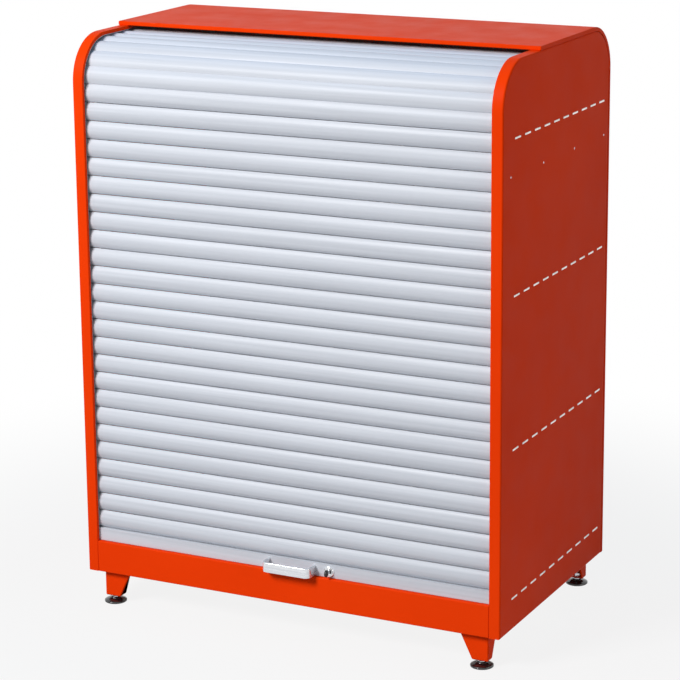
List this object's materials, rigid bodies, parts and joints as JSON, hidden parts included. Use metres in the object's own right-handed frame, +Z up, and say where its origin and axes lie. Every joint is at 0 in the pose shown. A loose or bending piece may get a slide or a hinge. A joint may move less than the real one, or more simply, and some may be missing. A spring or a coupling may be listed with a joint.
{
  "type": "roll front tool cabinet",
  "caption": "Free-standing sheet-steel tool cabinet on four levelled legs, whose slatted roll front lifts over a rounded top to open shelved compartments.",
  "frame": {"origin": "on the floor, in the middle of the space the cabinet takes, its pull handle included", "axes": "+X to the right as seen from the front, +Y to the back, +Z up"},
  "size_m": [1, 0.624, 1.287],
  "materials": {
    "orange_paint": "satin powder coat",
    "slat_silver": "satin silver",
    "galvanised": "galvanised",
    "track_aluminium": "mill",
    "zinc": "bright zinc",
    "handle_silver": "satin",
    "lock_chrome": "polished",
    "black_plastic": "glossy",
    "nylon": "matte",
    "black_rubber": "matte"
  },
  "bodies": {
    "cabinet": {"side_panel_left": "orange_paint", "side_panel_right": "orange_paint", "top_cover": "orange_paint", "back_panel": "orange_paint", "front_rail": "orange_paint", "rear_rail": "orange_paint", "leg_front_left": "orange_paint", "leg_front_right": "orange_paint", "leg_rear_left": "orange_paint", "leg_rear_right": "orange_paint", "front_slats": "slat_silver", "roof_slat_1": "slat_silver", "roof_slat_2": "slat_silver", "roof_slat_3": "slat_silver", "roof_slat_4": "slat_silver", "roof_slat_5": "slat_silver", "roof_slat_6": "slat_silver", "roof_slat_7": "slat_silver", "shelf_lower": "galvanised", "shelf_upper": "galvanised", "floor_pan": "galvanised", "inner_ceiling": "galvanised", "inner_back_wall": "galvanised", "side_stiffener_left": "galvanised", "side_stiffener_right": "galvanised", "lock_strike": "galvanised", "track_left": "track_aluminium", "track_right": "track_aluminium", "side_rivets": "zinc", "leg_bolts": "zinc", "leg_nuts": "zinc", "leg_bolt_nuts": "zinc", "end_stops": "black_rubber", "cover_brush": "black_rubber"},
    "shutter": {"bottom_rail": "slat_silver", "bottom_seal": "black_rubber", "guide_shoes": "nylon", "pull_handle": "handle_silver", "handle_screws": "zinc", "lock_body": "lock_chrome", "lock_nut": "zinc"},
    "lock": {"lock_plug": "lock_chrome", "lock_cam": "zinc", "cam_nut": "zinc", "key_blade": "zinc", "key_bow": "black_plastic"},
    "foot_front_left": {"foot_pad_front_left": "black_plastic", "foot_stud_front_left": "zinc"},
    "foot_front_right": {"foot_pad_front_right": "black_plastic", "foot_stud_front_right": "zinc"},
    "foot_rear_left": {"foot_pad_rear_left": "black_plastic", "foot_stud_rear_left": "zinc"},
    "foot_rear_right": {"foot_pad_rear_right": "black_plastic", "foot_stud_rear_right": "zinc"}
  },
  "joints": [
    {"name": "shutter_lift", "type": "slide", "parent": "cabinet", "child": "shutter", "axis": [0, 0, 1], "range_m": [0, 0.985], "deforming": ["front_slats"]},
    {"name": "lock_turn", "type": "hinge", "parent": "shutter", "child": "lock", "pos_m": [0.1, -0.27, 0.16], "axis": [0, 1, 0], "range_deg": [0, 90]},
    {"name": "foot_front_left_level", "type": "slide", "parent": "cabinet", "child": "foot_front_left", "axis": [0, 0, -1], "range_m": [0, 0.02]},
    {"name": "foot_front_right_level", "type": "slide", "parent": "cabinet", "child": "foot_front_right", "axis": [0, 0, -1], "range_m": [0, 0.02]},
    {"name": "foot_rear_left_level", "type": "slide", "parent": "cabinet", "child": "foot_rear_left", "axis": [0, 0, -1], "range_m": [0, 0.02]},
    {"name": "foot_rear_right_level", "type": "slide", "parent": "cabinet", "child": "foot_rear_right", "axis": [0, 0, -1], "range_m": [0, 0.02]}
  ]
}
